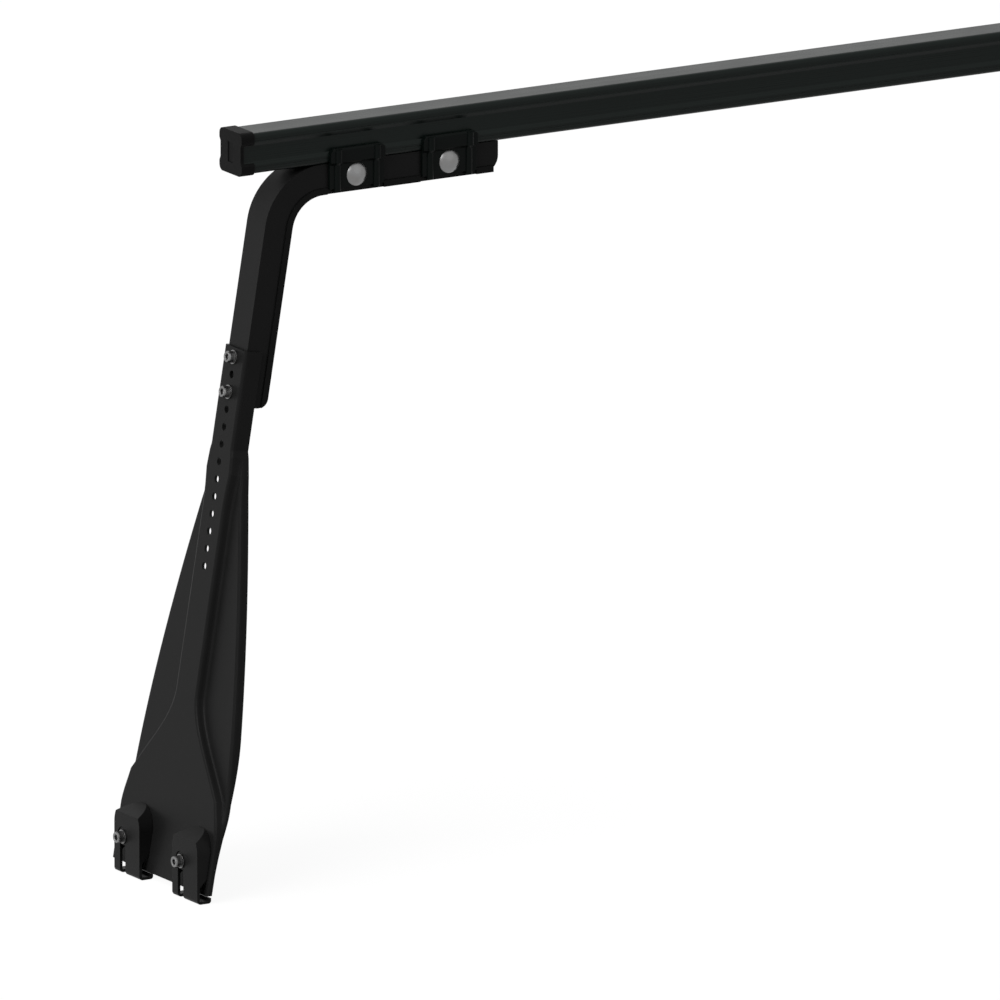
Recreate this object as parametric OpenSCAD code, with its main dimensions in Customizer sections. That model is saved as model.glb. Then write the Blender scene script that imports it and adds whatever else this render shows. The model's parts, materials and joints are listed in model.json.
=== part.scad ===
// Roof bar foot: a pressed leg that stands in a vehicle's rain gutter, a bent arm bolted inside it,
// and a length of roof bar held on the arm by two saddle clamps.
// +X runs inboard along the bar, +Z is up, and the origin is where the leg seats in the gutter.

/* [Leg] */
// Lean of the leg from upright, foot end outboard, in degrees
leg_lean = 9.5; // [6:0.5:12]
// Sheet thickness of the leg
leg_sheet = 2.5; // [2:0.25:3]
// Length of the leg above the datum hole, which is the second from the top
leg_above = 23; // [22:0.5:25]
// Height from the gutter seat up to the datum hole
leg_below = 427.3; // [420:1:440]
// Half the outside width of the upright channel
channel_half = 18; // [18:0.25:19]
// Depth of the side walls
wall_depth = 16; // [14:0.5:18]
// Half the outside width of the foot
foot_half = 80; // [76:1:86]
// Depth of the side walls at the seat
seat_depth = 4.6; // [4:0.2:8]
// Step between the raised face and the flanges
step_depth = 7.5; // [6.5:0.5:8]
// Bend radius of the sheet, outside
sheet_bend = 3; // [2.8:0.1:3.4]
// Distance between neighbouring height holes
hole_pitch = 15; // [14:0.5:16]
// Number of height holes
hole_count = 13; // [9:1:13]
// Diameter of a height hole
hole_d = 6.6; // [6.5:0.1:7]

/* [Arm] */
// Outside width of the arm channel
arm_w = 30.4; // [29:0.2:30.6]
// Depth of the arm with its cover
arm_depth = 26.4; // [24:0.4:28]
// Sheet thickness of the arm
arm_sheet = 2.5; // [2:0.25:3]
// Inside radius of the arm's bend
arm_bend = 30; // [26:1:36]
// Sheet thickness of the cover strip
cover_sheet = 1.3; // [1:0.1:1.6]
// Depth of the cover strip's lips
cover_depth = 5.6; // [4.6:0.2:7]
// Length of arm below the datum hole
arm_below = 25.4; // [24:0.2:30]
// How far the arm reaches inboard of the datum hole
arm_reach = 252; // [245:1:270]
// Gap between the arm's face and the inside of the leg
arm_gap = 0.2; // [0.1:0.05:0.4]

/* [Bar] */
// Width of the bar over its lobes
bar_w = 34.6; // [33:0.2:36]
// Height of the bar
bar_h = 34.8; // [33:0.2:37]
// Wall of the bar
bar_wall = 1.8; // [1.5:0.1:2.2]
// Length of the bar
bar_len = 778; // [600:1:900]
// Depth of the hollow along each side of the bar
bar_waist = 1.8; // [1.2:0.1:2]
// Height of each lobe along the bar's edges
bar_lobe = 9.6; // [8.6:0.2:10.4]
// Length of the end cap along the bar
cap_len = 12.8; // [11:0.2:16]
// How far the end cap stands out round the bar
cap_lip = 1.3; // [1:0.1:1.8]
// Height of the bar's underside above the datum hole
bar_z = 175.2; // [172:0.2:182]

/* [Saddle clamps] */
// Distance from the datum hole to the first clamp's bolt
saddle_x = 112; // [108:1:118]
// Distance between the two clamps' bolts
saddle_pitch = 90.7; // [84:0.1:96]
// Width of a clamp plate along the bar
saddle_w = 53; // [48:1:58]
// Thickness of a clamp plate
saddle_sheet = 3; // [2.5:0.25:3.5]
// Drop from the bar's underside to the clamp's lower edge
saddle_drop = 22; // [20:0.5:24]
// Drop from the bar's underside to the bolt's axis
bolt_drop = 11.6; // [10.5:0.1:12.5]
// Radius of the two pressed ribs
rib_r = 3.3; // [2.8:0.1:3.8]
// Distance of a rib from the bolt
rib_x = 19; // [17:0.5:21]
// Diameter of the clamp bolt
bolt_d = 8; // [8:0.5:8]
// Diameter of the bolt's domed head
dome_d = 20; // [19:0.2:22]

/* [Gutter jaws] */
// Distance between the two jaw screws
jaw_pitch = 97; // [92:1:100]
// Height of the jaw screws above the seat
jaw_screw_z = 25.3; // [24:0.1:27]
// Width of a jaw
jaw_w = 42; // [38:0.5:44]
// Offset of the jaw's middle from its screw
jaw_shift = 7; // [5:0.5:8]
// Sheet thickness of a jaw
jaw_sheet = 2.5; // [2:0.25:3]
// Distance of the jaw's front face from the leg's face at the seat
jaw_stand = 7.5; // [7:0.25:9]
// Height of the jaw's upright front above the seat
jaw_front_z = 46; // [44:0.5:48]
// Height of the jaw's heel above the seat
jaw_heel_z = 54.6; // [53:0.2:57]
// Depth of the hook below the seat
hook_drop = 7.2; // [7:0.1:9]
// Length of the hook inboard
hook_len = 13.5; // [13:0.25:15]
// Height of the hook's turned-up tip
hook_tip = 4.6; // [4.2:0.1:4.8]
// Width of the slot below the screw
jaw_slot = 9; // [8:0.5:10]

/* [Small screws] */
// Diameter of the small screws
screw_d = 6; // [6:0.5:6]
// Diameter of a small screw's head
head_d = 10; // [10:0.2:10.6]
// Height of a small screw's head
head_h = 6; // [5.5:0.25:6.5]
// Width across flats of the small screws' sockets
socket_af = 5; // [4.5:0.5:5]
// Outside diameter of a small washer
washer_d = 12; // [11.6:0.2:12.4]
// Thickness of a small washer
washer_t = 1.6; // [1.2:0.1:1.8]

/* [Hidden] */
$fn = 48;
touch = 0.02;
clear = 0.3;
thread_gap = 0.05;
over = 1;

// The pieces are drawn round the datum hole on the leg's face, then set down on the seat.
seat_z = -leg_below;
leg_t0 = seat_z / cos(leg_lean);
face_x = leg_t0 * sin(leg_lean);
seat_x = -face_x - leg_sheet / cos(leg_lean) / 2;
foot_t = -leg_t0;
bell_top = foot_t - 161;
bell_end = foot_t - 48;
flare_top = 62;
flare_end = foot_t - 49;
flange_full = 101;
flare_power = 1.58;
merge_top = foot_t - 88;
merge_run = 42;
taper_top = foot_t - 133;
taper_run = 125;
flange_least = 3 * sheet_bend + 1.6;
spine_half = channel_half - sheet_bend;
arc_steps = 3;
wall_start = 0.4;

// Arm: its bend's centre, from the leg's inner face and the bar's underside.
bend_overlap = 0.3;
bend_thicker = 0.01;
arm_face_q = -leg_sheet - arm_gap;
arm_outer_r = arm_bend + arm_depth;
bend_z = bar_z - arm_outer_r - bend_thicker - touch;
bend_x = (bend_z * sin(leg_lean) - arm_face_q + arm_outer_r) / cos(leg_lean);
bend_t = bend_x * sin(leg_lean) + bend_z * cos(leg_lean);
arm_screw_t = [hole_pitch, -hole_pitch];
arm_corner = 9;
arm_end_corner = 14;
cover_short = 5;
nut_plate_t = 6;
nut_plate_w = 20;
nut_plate_end = 10;
screw_len = 16;

head_chamfer = 0.6;

// Bar and cap, in the bar's own section.
bar_corner = 4;
bar_x = 2.4;
groove_r = 0.8;
groove_drop = 6.6;
groove_rise = 5.2;
cap_corner = bar_corner + cap_lip;
cap_face = 3.1;
cap_dent = 0.6;
cap_dent_w = 9;
plug_len = 14;
plug_gap = 0.15;
plug_wall = 1.8;

// Saddle clamp section.
arm_side = arm_w / 2;
saddle_back = arm_side + touch;
hook_back = bar_w / 2 + clear;
saddle_xs = [saddle_x, saddle_x + saddle_pitch];
bolt_z = bar_z - bolt_drop;
plate_low = bar_z - saddle_drop;
plate_top = bar_z + bar_lobe + clear + saddle_sheet;
lip_reach = bar_waist - 0.7;
knee_drop = 0.6;
knee_rise = 2.4;
knee_outside = 0.8;
rib_sink = 0.6;
rib_tail = 2.5;
corner_cut = 4.2;
neck_h = saddle_sheet - clear;
dome_h = 4.6;
hole_gap = 0.25;
nut_af = 13;
nut_h = 6.5;
big_washer_d = 16;
big_washer_t = 1.6;
bolt_end = 4;

// Gutter jaws, measured from the seat.
jaw_x = face_x - jaw_stand;
jaw_ys = [jaw_pitch / 2, -jaw_pitch / 2];
jaw_arch = jaw_w / 2;
jaw_side_low = 5;
jaw_side_rise = 14;
dish_d = 17;
dish_t = 0.8;
jaw_screw_len = 32;
small_nut_af = 10;
small_nut_h = 8;
slot_top = 7.5;
beyond = 60;

function mix(a, b, s) = a + (b - a) * s;
function clamp01(x) = min(1, max(0, x));
function smooth(x) = let (c = clamp01(x)) c * c * (3 - 2 * c);

// A point of the leg: t up along it, q outward from its face, y across.
function leg_point(t, q, y) = [
    t * sin(leg_lean) - q * cos(leg_lean),
    y,
    t * cos(leg_lean) + q * sin(leg_lean)
];

// Outline of the pressed sheet.
function flare(t) =
    foot_half - (foot_half - channel_half) * pow(1 - clamp01((-t - flare_top) / (flare_end - flare_top)), flare_power);
function bell(t) =
    let (full = spine_half + (foot_half - spine_half) * smooth((-t - bell_top) / (bell_end - bell_top)))
    max(spine_half, min(full, flare(t) - flange_least));
function flanged(t) =
    clamp01((-t - flare_top) / (flange_full - flare_top)) * (1 - smooth((-t - merge_top) / merge_run));
function depth(t) = mix(wall_depth, seat_depth, smooth((-t - taper_top) / taper_run));

function arc_points(cy, cq, r, from, to) =
    [for (i = [0 : arc_steps]) let (a = from + (to - from) * i / arc_steps) [cy + r * cos(a), cq + r * sin(a)]];

// Half a section of the sheet's outer face, from the middle to the rim, in two forms that blend.
function channel_half_section(b, d) =
    let (r = sheet_bend, n = 2 * (arc_steps + 1), top = r + wall_start)
    concat(
        arc_points(b - r, -r, r, 90, 0),
        [for (i = [0 : n]) [b, -top - (d - top) * i / n]]
    );
function flanged_half_section(a, b, d) =
    let (r = sheet_bend, s = step_depth)
    concat(
        arc_points(a, -r, r, 90, 8),
        arc_points(a + 2 * r + 0.6, -s + r, r, 188, 270),
        arc_points(b - r, -s - r, r, 90, 0),
        [[b, -d]]
    );
function half_section(t) =
    let (
        b = flare(t),
        d = depth(t),
        s = flanged(t),
        plain = channel_half_section(b, d),
        wide = max(b, bell(t) + flange_least),
        deep = max(d, step_depth + sheet_bend + 1),
        stepped = flanged_half_section(bell(t), wide, deep),
        n = len(plain)
    )
    [for (i = [0 : n - 1]) mix(plain[i], stepped[i], s)];

// The whole section from rim to rim, and the sheet's inner face from each point's mitre.
function whole_section(h) =
    concat([for (i = [len(h) - 1 : -1 : 0]) [-h[i][0], h[i][1]]], h);
function unit(v) = v / norm(v);
function side(v) = [v[1], -v[0]];
function inner_section(p) =
    [for (i = [0 : len(p) - 1])
        let (
            before = side(unit(i == 0 ? p[1] - p[0] : p[i] - p[i - 1])),
            after = side(unit(i == len(p) - 1 ? p[i] - p[i - 1] : p[i + 1] - p[i])),
            m = unit(before + after)
        )
        p[i] + m * leg_sheet / (m * after)
    ];
function ring(t) =
    let (outer = whole_section(half_section(t)), inner = inner_section(outer), n = len(outer))
    concat(
        [for (p = outer) leg_point(t, p[1], p[0])],
        [for (i = [n - 1 : -1 : 0]) leg_point(t, inner[i][1], inner[i][0])]
    );

// A closed skin through rings of equal length, with each end filled between its two faces.
module skin(rings) {
    n = len(rings[0]);
    last = len(rings) - 1;
    half = n / 2;
    sides = [for (k = [0 : last - 1], i = [0 : n - 1])
        let (j = (i + 1) % n, a = k * n + i, b = k * n + j, c = b + n, d = a + n)
        each (i % half < half / 2 ? [[a, b, c], [a, c, d]] : [[a, b, d], [b, c, d]])];
    first_end = [for (i = [0 : half - 2]) [i, n - 1 - i, n - 2 - i, i + 1]];
    last_end = [for (i = [0 : half - 2]) [last * n + i, last * n + i + 1, last * n + n - 2 - i, last * n + n - 1 - i]];
    polyhedron(points = [for (r = rings) each r], faces = concat(sides, first_end, last_end), convexity = 8);
}

// Everything is drawn round the datum hole and set down on the seat.
module place() translate([seat_x, 0, leg_below]) children();

// Turns +Z to the leg's outward normal, with +X up along the leg, at a place along it.
module leg_normal(t, q) translate(leg_point(t, q, 0)) rotate([0, -90 + leg_lean, 0]) children();

// Turns +Z to point outboard.
module outward() rotate([0, -90, 0]) children();

module leg() {
    stations = concat(
        [leg_above, -flare_top],
        [for (k = [4 : floor((bell_top - 8) / hole_pitch - 0.5)]) -hole_pitch * (k + 0.5)],
        [for (t = [2 - bell_top : -6 : 45 - foot_t]) t],
        [33 - foot_t, 19 - foot_t, -3 - foot_t]
    );
    color("#2a2b2b") place() difference() {
        skin([for (t = stations) ring(t)]);
        translate([-200, -150, seat_z - 50]) cube([300, 300, 50]);
        for (k = [0 : hole_count - 1])
            leg_normal(hole_pitch * (1 - k), -leg_sheet - over)
                cylinder(d = hole_d, h = leg_sheet + 2 * over);
        for (y = jaw_ys)
            translate([face_x + 20, y, seat_z + jaw_screw_z]) outward()
                cylinder(d = screw_d + 2 * hole_gap, h = 40);
    }
}

// Sweeps a section along the arm: x is the distance from the bend's centre, y is across. The first child is
// the section of the straight parts. The second is the bend's, a hair thicker, and the straight parts run into it.
module along_arm(reach, below) {
    translate([bend_x, 0, bend_z]) rotate([90, 0, 0]) {
        rotate([0, 0, 90]) rotate([90, 0, 0]) translate([0, 0, -bend_overlap])
            linear_extrude(reach - bend_x + bend_overlap) children(0);
        rotate([0, 0, 90]) rotate_extrude(angle = 90 - leg_lean, $fn = 96) children(1);
        rotate([0, 0, 180 - leg_lean]) translate([0, bend_t + below, 0])
            rotate([90, 0, 0]) linear_extrude(bend_t + below + bend_overlap) children(0);
    }
}

module arm_section(thicker = 0) {
    inner = arm_bend + cover_sheet + touch - thicker;
    outer = arm_outer_r + thicker;
    half = arm_side + thicker;
    sheet = arm_sheet + 2 * thicker;
    polygon([
        [inner, -half], [outer, -half], [outer, half], [inner, half], [inner, half - sheet],
        [outer - sheet, half - sheet], [outer - sheet, -half + sheet], [inner, -half + sheet]
    ]);
}

module cover_section(thicker = 0) {
    inner = arm_side + 2 * touch - thicker;
    outer = arm_side + 2 * touch + cover_sheet + thicker;
    front = arm_bend - thicker;
    back = arm_bend + cover_sheet - touch + thicker;
    rim = arm_bend + cover_depth + thicker;
    polygon([
        [front, -outer], [rim, -outer], [rim, -inner], [back, -inner],
        [back, inner], [rim, inner], [rim, outer], [front, outer]
    ]);
}

// What is left outside a rounded corner at the origin, for cutting across the arm.
module corner_waste(r) {
    rotate([90, 0, 0]) linear_extrude(80, center = true) difference() {
        translate([-over, -over]) square(r + over);
        translate([r, r]) circle(r);
    }
}

module arm() {
    color("#2b2c2c") place() difference() {
        along_arm(arm_reach, arm_below) {
            arm_section();
            arm_section(bend_thicker);
        }
        translate([arm_reach, 0, bar_z - arm_depth]) mirror([1, 0, 0]) corner_waste(arm_end_corner);
        translate(leg_point(-arm_below, arm_face_q - arm_depth, 0)) rotate([0, leg_lean, 0])
            mirror([1, 0, 0]) corner_waste(arm_corner);
        for (t = arm_screw_t)
            leg_normal(t, arm_face_q - arm_sheet - over) cylinder(d = hole_d, h = arm_sheet + 2 * over);
        for (x = saddle_xs)
            translate([x, 0, bolt_z]) rotate([90, 0, 0])
                cylinder(d = bolt_d + 2 * hole_gap, h = arm_w + 2 * over, center = true);
    }
}

module arm_cover() {
    color("#1b1c1c") place() difference() {
        along_arm(arm_reach - cover_short, arm_below) {
            cover_section();
            cover_section(bend_thicker);
        }
        translate(leg_point(-arm_below, arm_face_q - arm_depth, 0)) rotate([0, leg_lean, 0])
            mirror([1, 0, 0]) corner_waste(arm_corner);
        for (x = saddle_xs, s = [1, -1])
            translate([x, s * (arm_side + 5 - 0.3), bar_z - arm_depth + cover_depth / 2])
                cube([saddle_w + 2, 10, cover_depth + 2], center = true);
    }
}

module arm_nut_plate() {
    long = 2 * hole_pitch + 2 * nut_plate_end;
    color("#8d9194") place() difference() {
        leg_normal(0, arm_face_q - arm_sheet - touch - nut_plate_t)
            translate([-long / 2, -nut_plate_w / 2, 0]) cube([long, nut_plate_w, nut_plate_t]);
        for (t = arm_screw_t)
            leg_normal(t, arm_face_q - arm_sheet - nut_plate_t - over)
                cylinder(d = screw_d + 2 * thread_gap, h = nut_plate_t + 2 * over);
    }
}

// A socket head screw, its head standing on z = 0 and its shank below.
module socket_screw(long) {
    difference() {
        union() {
            cylinder(d = head_d, h = head_h - head_chamfer);
            translate([0, 0, head_h - head_chamfer])
                cylinder(d1 = head_d, d2 = head_d - 2 * head_chamfer, h = head_chamfer);
            translate([0, 0, -long]) cylinder(d = screw_d, h = long + touch);
        }
        translate([0, 0, head_h / 2]) cylinder(d = socket_af / cos(30), h = head_h, $fn = 6);
    }
}

module small_washer() {
    difference() {
        cylinder(d = washer_d, h = washer_t);
        translate([0, 0, -over]) cylinder(d = screw_d + 2 * thread_gap, h = washer_t + 2 * over);
    }
}

module arm_screw(t) color("#b9bec0") place() leg_normal(t, washer_t) socket_screw(screw_len);
module arm_washer(t) color("#c3c8ca") place() leg_normal(t, 0) small_washer();

// The bar's outline: rounded lobes along its four edges and a shallow hollow down each side.
module rounded_box(w, h, r) {
    translate([-w / 2 + r, 0]) square([w - 2 * r, h]);
    translate([-w / 2, r]) square([w, h - 2 * r]);
    for (x = [-1, 1], y = [r, h - r]) translate([x * (w / 2 - r), y]) circle(r);
}

module waisted_box(w, h, r, lobe, waist) {
    ease = waist * 1.2;
    difference() {
        rounded_box(w, h, r);
        for (s = [0, 1]) mirror([s, 0])
            polygon([
                [w / 2 + over, lobe - ease], [w / 2, lobe - ease], [w / 2 - waist, lobe + ease / 2],
                [w / 2 - waist, h - lobe - ease / 2], [w / 2, h - lobe + ease], [w / 2 + over, h - lobe + ease]
            ]);
    }
}

module bar_outline() waisted_box(bar_w, bar_h, bar_corner, bar_lobe, bar_waist);

module bar_hollow(gap = 0) {
    w = bar_w - 2 * bar_wall - 2 * gap;
    translate([0, bar_wall + gap])
        waisted_box(w, bar_h - 2 * bar_wall - 2 * gap, bar_corner - bar_wall / 2, bar_lobe - bar_wall, bar_waist);
}

// Stands an outline drawn as across and up so that it runs along the bar.
module along_bar(x, long) translate([x, 0, bar_z]) rotate([90, 0, 90]) linear_extrude(long) children();

// The bar has a fine rolled groove along each lobe.
module bar() {
    color("#3c403f") place() along_bar(bar_x, bar_len) difference() {
        bar_outline();
        bar_hollow();
        for (s = [-1, 1], z = [bar_h - groove_drop, groove_rise])
            translate([s * (bar_w + groove_r) / 2, z]) circle(groove_r, $fn = 24);
    }
}

module bar_end_cap() {
    color("#161817") place() {
        difference() {
            along_bar(bar_x - cap_face, cap_len) translate([0, -cap_lip])
                waisted_box(bar_w + 2 * cap_lip, bar_h + 2 * cap_lip, cap_corner, bar_lobe + cap_lip, bar_waist);
            along_bar(bar_x - touch, cap_len) translate([0, -touch])
                rounded_box(bar_w + 2 * touch, bar_h + 2 * touch, bar_corner);
            translate([bar_x - cap_face + cap_dent, 0, bar_z + bar_h / 2]) outward() linear_extrude(2)
                square([bar_h - 2 * bar_lobe + 2, cap_dent_w], center = true);
        }
        along_bar(bar_x - cap_face / 5, plug_len) difference() {
            bar_hollow(plug_gap);
            bar_hollow(plug_gap + plug_wall);
        }
    }
}

// Section of a clamp plate, y outward and z up: flat on the arm, out round the lobe and in over it.
module saddle_section() {
    s = saddle_sheet;
    knee = bar_z - knee_drop;
    polygon([
        [saddle_back, plate_low], [saddle_back, knee], [hook_back, knee + knee_rise],
        [hook_back, plate_top - s], [hook_back - lip_reach - clear, plate_top - s],
        [hook_back - lip_reach - clear, plate_top - s * 0.35], [hook_back - lip_reach + 0.4, plate_top],
        [hook_back + s * 0.55, plate_top], [hook_back + s, plate_top - s * 0.5],
        [hook_back + s, knee + knee_rise - knee_outside], [saddle_back + s, knee - knee_outside],
        [saddle_back + s, plate_low]
    ]);
}

// What lies inside the plate, so that the ribs stand out of its outer face only.
module saddle_inside() {
    in = 0.2;
    knee = bar_z - knee_drop;
    polygon([
        [-beyond, plate_low - beyond], [saddle_back + in, plate_low - beyond], [saddle_back + in, knee],
        [hook_back + in, knee + knee_rise], [hook_back + in, plate_top + beyond], [-beyond, plate_top + beyond]
    ]);
}

// Stands a section drawn as outward and up so that it runs along X, centred, on the far side.
module across_x(long) rotate([90, 0, 90]) linear_extrude(long, center = true) children();

module saddle_plate() {
    low_y = saddle_back + saddle_sheet - rib_sink;
    high_y = hook_back + saddle_sheet - rib_sink;
    rib_low = plate_low - rib_tail;
    rib_high = plate_top - rib_sink;
    bend_low = bar_z - knee_drop - knee_outside;
    bend_high = bend_low + knee_rise;
    slice = 0.2;
    difference() {
        union() {
            across_x(saddle_w) saddle_section();
            for (s = [-1, 1]) difference() {
                translate([s * rib_x, 0, 0]) {
                    translate([0, low_y, rib_low]) cylinder(r = rib_r, h = bend_low - rib_low);
                    translate([0, high_y, bend_high]) cylinder(r = rib_r, h = rib_high - bend_high);
                    hull() {
                        translate([0, low_y, bend_low - slice]) cylinder(r = rib_r, h = slice, $fn = 32);
                        translate([0, high_y, bend_high]) cylinder(r = rib_r, h = slice, $fn = 32);
                    }
                }
                across_x(saddle_w + 2) saddle_inside();
            }
        }
        for (s = [-1, 1]) translate([s * saddle_w / 2, 0, plate_top])
            rotate([90, 45, 0]) cube([corner_cut, corner_cut, 2 * beyond], center = true);
        translate([0, saddle_back - over, bolt_z]) rotate([-90, 0, 0])
            cylinder(d = bolt_d + 2 * hole_gap, h = saddle_sheet + 2 * over);
        translate([0, saddle_back + saddle_sheet / 2, bolt_z])
            cube([bolt_d + 2 * hole_gap, saddle_sheet + 2 * over, bolt_d + 2 * hole_gap], center = true);
    }
}

module saddle_front(x) color("#17191a") place() translate([x, 0, 0]) mirror([0, 1, 0]) saddle_plate();
module saddle_rear(x) color("#17191a") place() translate([x, 0, 0]) saddle_plate();

module saddle_bolt(x) {
    head_y = saddle_back + saddle_sheet + touch;
    dome_r = (pow(dome_d / 2, 2) + dome_h * dome_h) / (2 * dome_h);
    shank = 2 * head_y + big_washer_t + nut_h + bolt_end;
    color("#93999a") place() translate([x, -head_y, bolt_z]) rotate([90, 0, 0]) {
        rotate_extrude() intersection() {
            translate([0, dome_h - dome_r]) circle(dome_r, $fn = 96);
            square([dome_d, dome_h * 2]);
        }
        translate([-bolt_d / 2, -bolt_d / 2, -neck_h]) cube([bolt_d, bolt_d, neck_h + touch]);
        translate([0, 0, -shank]) cylinder(d = bolt_d, h = shank);
    }
}

module saddle_washer(x) {
    color("#a7acae") place() translate([x, saddle_back + saddle_sheet + touch, bolt_z])
        rotate([-90, 0, 0]) difference() {
            cylinder(d = big_washer_d, h = big_washer_t);
            translate([0, 0, -over]) cylinder(d = bolt_d + 2 * thread_gap, h = big_washer_t + 2 * over);
        }
}

module saddle_nut(x) {
    color("#a0a5a7") place() translate([x, saddle_back + saddle_sheet + 2 * touch + big_washer_t, bolt_z])
        rotate([-90, 0, 0]) difference() {
            cylinder(d = nut_af / cos(30), h = nut_h, $fn = 6);
            translate([0, 0, -over]) cylinder(d = bolt_d + 2 * thread_gap, h = nut_h + 2 * over);
        }
}

// The jaw's side outline: a top that slopes out from the heel, an upright front and an open back.
// The cavity has the same outline a wall further in, run on through the back and the lower end.
module jaw_profile(wall) {
    heel = leg_point(leg_t0 + jaw_heel_z, clear, 0);
    low = leg_point(leg_t0 + jaw_side_rise, clear, 0);
    front = seat_z + jaw_front_z;
    slope = (heel[2] - front) / (heel[0] - jaw_x);
    if (wall == 0)
        polygon([[heel[0], heel[2]], [jaw_x, front], [jaw_x, seat_z + jaw_side_low], [low[0], low[2]]]);
    else {
        top = front + wall * (slope - sqrt(1 + slope * slope));
        polygon([
            [jaw_x + wall + beyond, top + beyond * slope], [jaw_x + wall, top],
            [jaw_x + wall, seat_z - beyond], [jaw_x + wall + beyond, seat_z - beyond]
        ]);
    }
}

// The jaw's outline on the leg's face, x up along the leg: straight sides under a round arch.
module jaw_plan(inset) {
    r = jaw_arch - inset;
    top = jaw_heel_z + 0.4 - inset;
    translate([leg_t0 - 40, -r]) square([40 + top - r, 2 * r]);
    translate([leg_t0 + top - r, 0]) circle(r, $fn = 96);
}

module jaw_hood(inset) {
    intersection() {
        rotate([90, 0, 0]) linear_extrude(2 * jaw_w, center = true) jaw_profile(inset);
        leg_normal(0, -30) linear_extrude(60) jaw_plan(inset);
    }
}

// The hook's outline, x inboard and z up, at the foot of the jaw's front.
module hook_profile() {
    s = jaw_sheet;
    r = s + 1;
    low = seat_z - hook_drop;
    difference() {
        union() {
            translate([jaw_x, low + r]) square([s, seat_z + jaw_side_low + 6 - low - r]);
            translate([jaw_x + r, low + r]) circle(r);
            translate([jaw_x + r, low]) square([hook_len - r - s, s]);
            translate([jaw_x + hook_len - s, low + s]) circle(s);
            translate([jaw_x + hook_len - s, low + s]) square([s, hook_tip - s]);
        }
        translate([jaw_x + s, low + s]) square([hook_len - 2 * s, 30]);
    }
}

module jaw(y) {
    color("#2c2d2d") place() translate([0, y, 0]) difference() {
        translate([0, -jaw_shift, 0]) union() {
            difference() {
                jaw_hood(0);
                jaw_hood(jaw_sheet);
            }
            rotate([90, 0, 0]) linear_extrude(jaw_w, center = true) hook_profile();
        }
        translate([jaw_x + jaw_sheet + over, 0, seat_z + jaw_screw_z]) outward()
            cylinder(d = screw_d + 2 * hole_gap, h = jaw_sheet + 2 * over);
        translate([jaw_x + dish_t, 0, seat_z + jaw_screw_z]) outward() cylinder(d = dish_d, h = 5);
        translate([jaw_x - over, -jaw_slot / 2, seat_z - hook_drop - over])
            cube([hook_len + 2 * over, jaw_slot, hook_drop + over + jaw_screw_z - slot_top]);
    }
}

module jaw_washer(y)
    color("#c3c8ca") place() translate([jaw_x + dish_t - touch, y, seat_z + jaw_screw_z])
        outward() small_washer();

module jaw_screw(y)
    color("#b9bec0") place() translate([jaw_x + dish_t - washer_t - 2 * touch, y, seat_z + jaw_screw_z])
        outward() socket_screw(jaw_screw_len);

// Nut welded behind the leg, its face cut to the sheet's slope.
module jaw_nut(y) {
    back_x = face_x + leg_sheet + jaw_screw_z * tan(leg_lean) + small_nut_h + 1;
    color("#6f7375") place() difference() {
        translate([back_x, y, seat_z + jaw_screw_z]) outward()
            cylinder(d = small_nut_af / cos(30), h = small_nut_h + 6, $fn = 6);
        leg_normal(leg_t0, -leg_sheet - touch) translate([0, -100, 0]) cube([60, 200, 30]);
        translate([back_x + over, y, seat_z + jaw_screw_z]) outward()
            cylinder(d = screw_d + 2 * thread_gap, h = 40);
    }
}

leg();
arm();
arm_cover();
arm_nut_plate();
arm_screw(arm_screw_t[0]);  // arm_screw_upper
arm_screw(arm_screw_t[1]);  // arm_screw_lower
arm_washer(arm_screw_t[0]);  // arm_washer_upper
arm_washer(arm_screw_t[1]);  // arm_washer_lower
bar();
bar_end_cap();
saddle_front(saddle_xs[0]);  // saddle_front_outer
saddle_front(saddle_xs[1]);  // saddle_front_inner
saddle_rear(saddle_xs[0]);  // saddle_back_outer
saddle_rear(saddle_xs[1]);  // saddle_back_inner
saddle_bolt(saddle_xs[0]);  // saddle_bolt_outer
saddle_bolt(saddle_xs[1]);  // saddle_bolt_inner
saddle_washer(saddle_xs[0]);  // saddle_washer_outer
saddle_washer(saddle_xs[1]);  // saddle_washer_inner
saddle_nut(saddle_xs[0]);  // saddle_nut_outer
saddle_nut(saddle_xs[1]);  // saddle_nut_inner
jaw(jaw_ys[0]);  // jaw_left
jaw(jaw_ys[1]);  // jaw_right
jaw_screw(jaw_ys[0]);  // jaw_screw_left
jaw_screw(jaw_ys[1]);  // jaw_screw_right
jaw_washer(jaw_ys[0]);  // jaw_washer_left
jaw_washer(jaw_ys[1]);  // jaw_washer_right
jaw_nut(jaw_ys[0]);  // jaw_nut_left
jaw_nut(jaw_ys[1]);  // jaw_nut_right
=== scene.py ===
"""Looks of the roof bar foot: black coated steel, plated screws and a moulded end cap on a white floor."""

import json
import math

import bmesh
import bpy
from mathutils import Matrix, Vector


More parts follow.
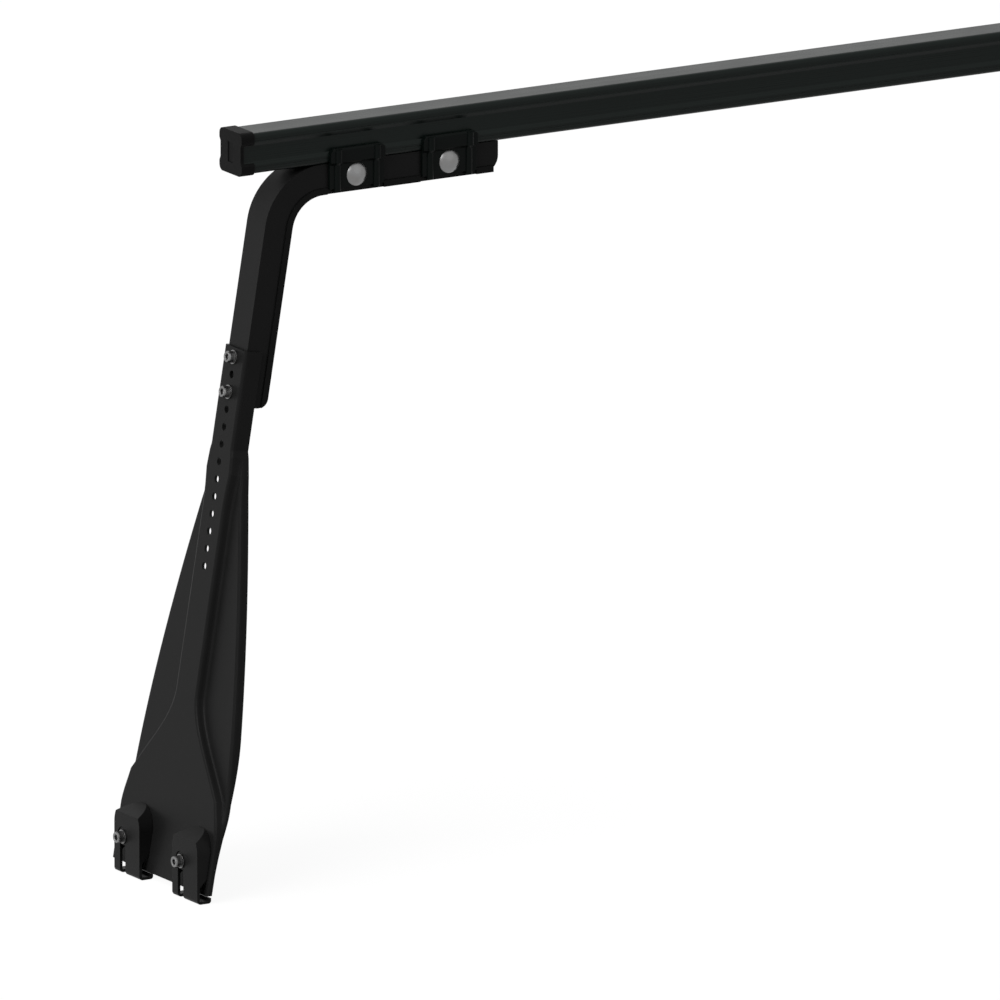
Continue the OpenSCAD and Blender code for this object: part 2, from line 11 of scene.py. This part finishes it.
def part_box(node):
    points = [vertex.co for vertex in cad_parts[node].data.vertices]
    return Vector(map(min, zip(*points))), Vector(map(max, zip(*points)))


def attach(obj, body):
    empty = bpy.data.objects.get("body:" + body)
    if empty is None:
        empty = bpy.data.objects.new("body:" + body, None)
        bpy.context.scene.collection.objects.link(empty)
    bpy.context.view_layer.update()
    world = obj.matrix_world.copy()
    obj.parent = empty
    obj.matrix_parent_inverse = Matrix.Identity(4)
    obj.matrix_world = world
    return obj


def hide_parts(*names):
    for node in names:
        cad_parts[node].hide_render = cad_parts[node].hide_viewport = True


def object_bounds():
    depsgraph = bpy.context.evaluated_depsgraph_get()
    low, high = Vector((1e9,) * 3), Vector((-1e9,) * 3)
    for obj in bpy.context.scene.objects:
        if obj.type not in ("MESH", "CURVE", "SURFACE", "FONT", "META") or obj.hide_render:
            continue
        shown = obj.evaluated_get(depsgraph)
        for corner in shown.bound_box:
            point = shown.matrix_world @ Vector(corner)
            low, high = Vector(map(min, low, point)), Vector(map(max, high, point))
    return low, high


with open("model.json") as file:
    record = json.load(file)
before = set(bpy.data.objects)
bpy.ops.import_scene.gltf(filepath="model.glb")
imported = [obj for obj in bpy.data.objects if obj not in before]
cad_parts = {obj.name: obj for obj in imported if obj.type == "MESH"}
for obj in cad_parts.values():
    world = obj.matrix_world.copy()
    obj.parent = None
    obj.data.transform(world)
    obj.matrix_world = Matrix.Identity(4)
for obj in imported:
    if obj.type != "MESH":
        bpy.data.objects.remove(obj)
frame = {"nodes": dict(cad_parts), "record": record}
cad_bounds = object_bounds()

MM = 0.001
nodes = frame["nodes"]
mounts = {m["name"]: m for m in frame["record"]["mounts"]}

# Directions of the row frame
OUTBOARD = Vector((-1, 0, 0))
FAR_SIDE = Vector((0, 1, 0))
LEG_NORMAL = Vector(mounts["height_hole_lowest"]["axis"]).normalized()


# Shader maths as plain expressions
class Signal:
    """A shader socket that takes part in ordinary arithmetic."""

    def __init__(self, finish, socket):
        self.finish = finish
        self.socket = socket

    def _maths(self, operation, *values):
        return self.finish.make("ShaderNodeMath", {"operation": operation}, *values)

    def __add__(self, other):
        return self._maths("ADD", self, other)

    def __radd__(self, other):
        return self._maths("ADD", other, self)

    def __sub__(self, other):
        return self._maths("SUBTRACT", self, other)

    def __rsub__(self, other):
        return self._maths("SUBTRACT", other, self)

    def __mul__(self, other):
        return self._maths("MULTIPLY", self, other)

    def __rmul__(self, other):
        return self._maths("MULTIPLY", other, self)

    def clamp(self):
        return self._maths("MINIMUM", self._maths("MAXIMUM", self, 0.0), 1.0)


class Finish:
    """A material, or the world, with one method that makes any node."""

    def __init__(self, name, tree=None):
        if tree is None:
            self.material = bpy.data.materials.new(name)
            self.material.use_nodes = True
            tree = self.material.node_tree
        self.tree = tree
        self.tree.nodes.clear()

    def make(self, kind, settings=None, *values, out=0, **named):
        node = self.tree.nodes.new(kind)
        for key, value in (settings or {}).items():
            if key == "stops":
                ramp = node.color_ramp
                while len(ramp.elements) < len(value):
                    ramp.elements.new(0.5)
                for element, (at, colour) in zip(ramp.elements, value):
                    element.position = at
                    element.color = colour
            else:
                setattr(node, key, value)
        for key, value in list(enumerate(values)) + list(named.items()):
            self.feed(node.inputs[key.replace("_", " ") if isinstance(key, str) else key], value)
        return Signal(self, node.outputs[out]) if len(node.outputs) else None

    def feed(self, socket, value):
        if isinstance(value, Signal):
            self.tree.links.new(value.socket, socket)
        elif value is not None:
            socket.default_value = value

    def blend(self, amount, first, second):
        """Mixes two colours."""
        node = self.tree.nodes.new("ShaderNodeMix")
        node.data_type = "RGBA"
        for name, value in (("Factor", amount), ("A", first), ("B", second)):
            sockets = [s for s in node.inputs if s.name == name and s.enabled]
            self.feed(sockets[0], value)
        return Signal(self, [s for s in node.outputs if s.enabled][0])

    def place(self):
        return self.make("ShaderNodeTexCoord", None, out="Object")

    def noise(self, scale, detail=3.0, where=None, rough=0.5):
        return self.make("ShaderNodeTexNoise", None, Vector=where or self.place(), Scale=scale,
                         Detail=detail, Roughness=rough)

    def stretched(self, sx, sy, sz):
        return self.make("ShaderNodeMapping", None, Vector=self.place(), Scale=(sx, sy, sz))

    def finish_surface(self, colour, roughness, height=None, lift=0.0, round_edge=0.0004, **constants):
        """The principled surface: rounded edges under a bump of the given height."""
        normal = self.make("ShaderNodeBevel", {"samples": 4}, Radius=round_edge)
        if height is not None:
            normal = self.make("ShaderNodeBump", None, Height=height, Distance=lift, Strength=1.0,
                               Normal=normal)
        surface = self.make("ShaderNodeBsdfPrincipled", None, Base_Color=colour, Roughness=roughness,
                            Normal=normal)
        node = surface.socket.node
        for name, value in constants.items():
            node.inputs[name.replace("_", " ")].default_value = value
        self.output(surface)
        return self.material

    def output(self, surface):
        self.make("ShaderNodeOutputMaterial", None, Surface=surface)


def grey(value, warm=0.0):
    return (value * (1 + warm), value, value * (1 - warm), 1.0)


def powder_coat(name, dark, light, roughness, texture=1.0):
    """Black powder coat: fine orange peel, soft clouding and faint specks."""
    f = Finish(name)
    peel = f.noise(900.0, 2.0)
    broad = f.noise(38.0, 3.0)
    speck = f.noise(2600.0, 2.0)
    colour = f.blend((broad * 0.8 + speck * 0.2).clamp(), dark, light)
    rough = roughness + (broad - 0.5) * 0.16 + (speck - 0.5) * 0.10
    height = peel * 0.7 + speck * 0.3
    return f.finish_surface(colour, rough.clamp(), height, 0.00006 * texture, IOR=1.45,
                            Specular_IOR_Level=0.07)


def rolled_coat(name, dark, light, roughness):
    """The bar's coat: smoother, with faint rolling lines along its length."""
    f = Finish(name)
    lines = f.noise(1.0, 4.0, f.stretched(3.0, 1400.0, 1400.0))
    broad = f.noise(24.0, 3.0)
    speck = f.noise(1500.0, 2.0)
    colour = f.blend((lines * 0.6 + broad * 0.4).clamp(), dark, light)
    rough = roughness + (lines - 0.5) * 0.22 + (broad - 0.5) * 0.1
    return f.finish_surface(colour, rough.clamp(), lines * 0.5 + speck * 0.5, 0.00003, IOR=1.5,
                            Specular_IOR_Level=0.11)


def moulded_plastic(name, dark, light):
    """Fine-grained black moulding."""
    f = Finish(name)
    grain = f.make("ShaderNodeTexVoronoi", {"feature": "F1"}, Vector=f.place(), Scale=1500.0)
    cloud = f.noise(60.0, 3.0)
    colour = f.blend(cloud, dark, light)
    rough = 0.52 + (cloud - 0.5) * 0.15 + (grain - 0.5) * 0.08
    return f.finish_surface(colour, rough.clamp(), grain, 0.00005, round_edge=0.0007,
                            Specular_IOR_Level=0.05)


def plated(name, colour, roughness, scratch=1.0):
    """Zinc plate: pale metal with fine drawn marks and a slightly uneven passivated tone."""
    f = Finish(name)
    cloud = f.noise(160.0, 4.0)
    marks = f.noise(1.0, 3.0, f.stretched(300.0, 2600.0, 900.0))
    tone = f.blend(cloud, grey(colour, -0.02), grey(colour * 0.82, 0.03))
    rough = roughness + (cloud - 0.5) * 0.2 + (marks - 0.5) * 0.12
    return f.finish_surface(tone, rough.clamp(), marks, 0.00002 * scratch, round_edge=0.00025, Metallic=1.0)


leg_coat = powder_coat("leg_coat", grey(0.008), grey(0.013), 0.40)
arm_coat = powder_coat("arm_coat", grey(0.008), grey(0.013), 0.38)
cover_coat = powder_coat("cover_coat", grey(0.003), grey(0.006), 0.45)
clamp_coat = powder_coat("clamp_coat", (0.002, 0.003, 0.003, 1), (0.004, 0.006, 0.005, 1), 0.30, 0.6)
bar_coat = rolled_coat("bar_coat", (0.004, 0.007, 0.006, 1), (0.009, 0.014, 0.012, 1), 0.30)
cap_plastic = moulded_plastic("cap_plastic", grey(0.003), grey(0.006))
bright_zinc = plated("bright_zinc", 0.22, 0.32)
dull_zinc = plated("dull_zinc", 0.20, 0.40)

FINISHES = {
    "leg_paint": leg_coat,
    "arm_paint": arm_coat,
    "cover_paint": cover_coat,
    "clamp_paint": clamp_coat,
    "bar_paint": bar_coat,
    "cap_plastic": cap_plastic,
    "zinc": bright_zinc,
    "bare_steel": dull_zinc,
}


def dress(obj, finish):
    obj.data.materials.clear()
    obj.data.materials.append(finish)


for part in frame["record"]["subparts"]:
    dress(nodes[part["node"]], FINISHES[part["material_slot"]])


# Screws and nuts with their threads and drives
def middle(node):
    low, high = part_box(node)
    return (low + high) / 2


def frame_on(point, axis):
    """A placing whose z runs along the axis and whose x stays as near to up as it can."""
    z = axis.normalized()
    x = (Vector((0, 0, 1)) - z * z.z).normalized() if abs(z.z) < 0.9 else Vector((1, 0, 0))
    y = z.cross(x)
    return Matrix.Translation(point) @ Matrix((x, y, z)).transposed().to_4x4()


def ring_at(bm, steps, place):
    """One ring of points. place(angle) gives each point's radius and height."""
    ring = []
    for i in range(steps):
        angle = 2 * math.pi * i / steps
        radius, height = place(angle)
        ring.append(bm.verts.new((radius * math.cos(angle), radius * math.sin(angle), height)))
    return ring


def skin(bm, rings, capped=True):
    """Joins each ring to the next with quads. Capped ends are closed by one face each."""
    steps = len(rings[0])
    for low, high in zip(rings, rings[1:]):
        for i in range(steps):
            j = (i + 1) % steps
            bm.faces.new((low[i], low[j], high[j], high[i]))
    if capped:
        bm.faces.new(reversed(rings[0]))
        bm.faces.new(rings[-1])


def flat_radius(angle, flats):
    """Distance from the axis to the side of a hexagon with that width across its flats."""
    turn = (angle + math.pi / 6) % (math.pi / 3) - math.pi / 6
    return flats / 2 / math.cos(turn)


def thread(bm, crest, depth, pitch, start, end):
    """A rolled thread: one skin whose radius follows the helix, tapered out at both ends."""
    rows = max(2, int(round((end - start) / pitch * 8)))
    rings = []
    for k in range(rows + 1):
        z = start + (end - start) * k / rows
        fade = max(0.15, min(1.0, (z - start) / pitch, (end - z) / pitch))

        def on_helix(angle, z=z, fade=fade):
            wave = abs(2 * ((z / pitch - angle / (2 * math.pi)) % 1.0) - 1)
            groove = min(1.0, max(0.0, wave * 1.5 - 0.25))
            return crest - depth * groove * fade, z

        rings.append(ring_at(bm, SHANK_STEPS, on_helix))
    skin(bm, rings)


def to_object(name, bm, placing, finish, smooth_angle=35):
    mesh = bpy.data.meshes.new(name)
    bmesh.ops.recalc_face_normals(bm, faces=bm.faces)
    for edge in bm.edges:
        edge.smooth = len(edge.link_faces) == 2 and edge.calc_face_angle(0) < math.radians(smooth_angle)
    for face in bm.faces:
        face.smooth = True
    bm.to_mesh(mesh)
    bm.free()
    mesh.transform(placing)
    obj = bpy.data.objects.new(name, mesh)
    bpy.context.scene.collection.objects.link(obj)
    dress(obj, finish)
    return obj


def stand_in(obj, body, slot, *replaced):
    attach(obj, body)
    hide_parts(*replaced)


# The small screws
SCREW_R = 3 * MM
SCREW_PITCH = 1 * MM
THREAD_DEEP = 0.55 * MM
PLAIN_SHANK = 3 * MM
HEAD_R = 5 * MM
HEAD_H = 6 * MM
HEAD_EASE = 0.3 * MM
HEAD_CHAMFER = 0.5 * MM
SOCKET_AF = 5 * MM
SOCKET_DEEP = 3 * MM
KNURLS = 36
KNURL_DEEP = 0.16 * MM
KNURL_LOW = 0.7 * MM
KNURL_HIGH = HEAD_H * 0.72
SHOULDER_H = HEAD_H * 0.76
SHOULDER_IN = 0.05 * MM
SOCKET_RIM_R = SOCKET_AF * 0.62
SOCKET_RIM_DEEP = 0.35 * MM
DRILLED_R = SOCKET_AF * 0.25
DRILLED_DEEP = 0.5 * MM
HEAD_STEPS = 144
SHANK_STEPS = 40
SHANK_LAP = 0.2 * MM
THREAD_LAP = 0.05 * MM
WASHER_T = 1.6 * MM
ARM_SCREW_LONG = 16 * MM
JAW_SCREW_LONG = 32 * MM

# The clamps' nuts
NUT_AF = 13 * MM
NUT_BORE_R = 4.02 * MM
NUT_FACE_SHARE = 0.96
NUT_CORNER_SHARE = 0.12
NUT_CHAMFER = 0.45 * MM
NUT_EASE = 0.05 * MM
NUT_STEPS = 96


def socket_screw(name, seat, axis, long, body, replaced):
    """Socket head screw: knurled head with a chamfer, six-sided drive and a threaded shank."""
    bm = bmesh.new()
    floor = HEAD_H - SOCKET_DEEP
    rings = []

    def add(radius, height, knurled=False, six_sided=False):
        def place(angle):
            if knurled:
                return radius - KNURL_DEEP * (0.5 + 0.5 * math.cos(KNURLS * angle)), height
            if six_sided:
                return flat_radius(angle, SOCKET_AF), height
            return radius, height
        rings.append(ring_at(bm, HEAD_STEPS, place))

    add(HEAD_R - HEAD_EASE, 0)
    add(HEAD_R, HEAD_EASE)
    add(HEAD_R, KNURL_LOW, knurled=True)
    add(HEAD_R, KNURL_HIGH, knurled=True)
    add(HEAD_R - SHOULDER_IN, SHOULDER_H)
    add(HEAD_R - HEAD_CHAMFER, HEAD_H)
    add(SOCKET_RIM_R, HEAD_H)
    add(None, HEAD_H - SOCKET_RIM_DEEP, six_sided=True)
    add(None, floor, six_sided=True)
    add(DRILLED_R, floor - DRILLED_DEEP)
    skin(bm, rings)
    shank = [ring_at(bm, SHANK_STEPS, lambda angle, z=z: (SCREW_R, z)) for z in (-PLAIN_SHANK, SHANK_LAP)]
    skin(bm, shank)
    thread(bm, SCREW_R, THREAD_DEEP, SCREW_PITCH, -long, -PLAIN_SHANK + THREAD_LAP)
    stand_in(to_object(name, bm, frame_on(seat, axis), bright_zinc), body, "zinc", replaced)


for place in ("upper", "lower"):
    face = middle(f"arm_washer_{place}") + LEG_NORMAL * WASHER_T / 2
    socket_screw(f"arm_screw_{place}_threaded", face, LEG_NORMAL, ARM_SCREW_LONG, "foot",
                 f"arm_screw_{place}")
for place in ("left", "right"):
    face = middle(f"jaw_washer_{place}") + OUTBOARD * WASHER_T / 2
    socket_screw(f"jaw_screw_{place}_threaded", face, OUTBOARD, JAW_SCREW_LONG, f"{place}_jaw",
                 f"jaw_screw_{place}")


def hex_nut(name, node, axis, body):
    """Hexagon nut with both faces chamfered, filling the plain nut's box."""
    low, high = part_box(node)
    thick = abs((high - low).dot(axis))
    bm = bmesh.new()
    inside = NUT_AF / 2
    corner = inside / math.cos(math.pi / 6)
    chamfer = NUT_CORNER_SHARE * (corner - inside) + NUT_CHAMFER

    def round_ring(radius, height):
        return ring_at(bm, NUT_STEPS, lambda angle: (radius, height))

    def side_ring(near_top):
        def place(angle):
            radius = flat_radius(angle, NUT_AF)
            dip = chamfer * (radius - inside) / (corner - inside) + NUT_EASE
            return radius, thick - dip if near_top else dip
        return ring_at(bm, NUT_STEPS, place)

    rings = [
        round_ring(NUT_BORE_R, 0),
        round_ring(inside * NUT_FACE_SHARE, 0),
        side_ring(False),
        side_ring(True),
        round_ring(inside * NUT_FACE_SHARE, thick),
        round_ring(NUT_BORE_R, thick),
    ]
    skin(bm, rings + [rings[0]], capped=False)
    base = (low + high) / 2 - axis * thick / 2
    stand_in(to_object(name, bm, frame_on(base, axis), dull_zinc), body, "bare_steel", node)


for place in ("outer", "inner"):
    hex_nut(f"saddle_nut_{place}_chamfered", f"saddle_nut_{place}", FAR_SIDE, "foot")


# Floor, lamps and camera
SEAT_FROM_DATUM = Vector((70.237, 0, 427.3)) * MM
VIEW_AZIMUTH, VIEW_ELEVATION = math.radians(-30.7), math.radians(13.8)
PIXELS_PER_MM = 1.187
IMAGE_PX = 1000
DATUM_PX = Vector((231.6, 374.4))
LENS_MM = 1500
SENSOR_MM = 36
FLOOR_HALF = 40
FLOOR_GAP = 0.2 * MM
FLOOR_SHOWN = 1.08
FLOOR_SHOWN_SHARE = 0.86
KEY_FROM = (-0.78, -0.20, 0.60)
FILL_FROM = (0.25, -0.85, 0.45)
ROOM_BRIGHT_FROM = (-0.78, 0.1, 0.62)


def aim_camera():
    """A very long lens, so that the view is nearly parallel, framed as the photograph is."""
    sa, ca = math.sin(VIEW_AZIMUTH), math.cos(VIEW_AZIMUTH)
    se, ce = math.sin(VIEW_ELEVATION), math.cos(VIEW_ELEVATION)
    right = Vector((ca, sa, 0))
    back = Vector((sa * ce, -ca * ce, se))
    up = back.cross(right)
    across = (IMAGE_PX / 2 - DATUM_PX.x) / PIXELS_PER_MM * MM
    rise = (DATUM_PX.y - IMAGE_PX / 2) / PIXELS_PER_MM * MM
    target = SEAT_FROM_DATUM + right * across + up * rise
    data = bpy.data.cameras.new("camera")
    data.sensor_width = SENSOR_MM
    data.lens = LENS_MM
    distance = IMAGE_PX / PIXELS_PER_MM * MM * data.lens / data.sensor_width
    data.clip_start = 0.5
    data.clip_end = distance * 3
    camera = bpy.data.objects.new("camera", data)
    bpy.context.scene.collection.objects.link(camera)
    camera.matrix_world = Matrix((right, up, back)).transposed().to_4x4()
    camera.matrix_world.translation = target + back * distance
    bpy.context.scene.camera = camera


def seen(finish):
    """1 for what is seen directly, in a reflection or through something, and 0 for light that only falls."""
    rays = finish.tree.nodes.new("ShaderNodeLightPath")
    kinds = [Signal(finish, rays.outputs[f"Is {kind} Ray"]) for kind in ("Camera", "Glossy", "Transmission")]
    return (kinds[0] + kinds[1] + kinds[2]).clamp()


def lay_floor():
    """White floor at the jaws' hooks. It shows nearly white and keeps the object's shadow."""
    bm = bmesh.new()
    bmesh.ops.create_grid(bm, x_segments=1, y_segments=1, size=FLOOR_HALF)
    mesh = bpy.data.meshes.new("floor")
    bm.to_mesh(mesh)
    bm.free()
    floor = bpy.data.objects.new("floor", mesh)
    floor.location.z = cad_bounds[0][2] - FLOOR_GAP
    bpy.context.scene.collection.objects.link(floor)
    f = Finish("floor")
    tone = f.blend(seen(f), grey(0.16), grey(0.9))
    dim = f.make("ShaderNodeBsdfDiffuse", None, Color=tone)
    shown = f.make("ShaderNodeEmission", None, Color=grey(1.0), Strength=FLOOR_SHOWN)
    f.output(f.make("ShaderNodeMixShader", None, seen(f) * FLOOR_SHOWN_SHARE, dim, shown))
    dress(floor, f.material)


def hang_lamps():
    """A broad key lamp outboard and above, a weak fill in front, and a room bright on the key's side."""

    def sun(name, towards, strength, spread):
        data = bpy.data.lights.new(name, "SUN")
        data.energy = strength
        data.angle = math.radians(spread)
        lamp = bpy.data.objects.new(name, data)
        lamp.matrix_world = frame_on(Vector((0, 0, 1)), Vector(towards))
        bpy.context.scene.collection.objects.link(lamp)

    sun("key", KEY_FROM, 1.8, 40)
    sun("fill", FILL_FROM, 0.18, 60)

    world = bpy.data.worlds.new("room")
    bpy.context.scene.world = world
    world.use_nodes = True
    f = Finish("room", world.node_tree)
    direction = f.make("ShaderNodeTexCoord", None, out="Generated")
    facing = f.make("ShaderNodeVectorMath", {"operation": "DOT_PRODUCT"}, direction,
                    Vector(ROOM_BRIGHT_FROM).normalized(), out="Value")
    stops = [(0.0, grey(0.006)), (0.6, grey(0.03)), (1.0, grey(0.75))]
    bright = f.make("ShaderNodeValToRGB", {"stops": stops}, (facing * 0.5 + 0.5).clamp())
    shown = f.blend(seen(f), bright, grey(1.0))
    room = f.make("ShaderNodeBackground", None, Color=shown, Strength=1.0)
    f.make("ShaderNodeOutputWorld", None, Surface=room)


aim_camera()
lay_floor()
hang_lamps()
bpy.context.scene.view_settings.view_transform = "Standard"
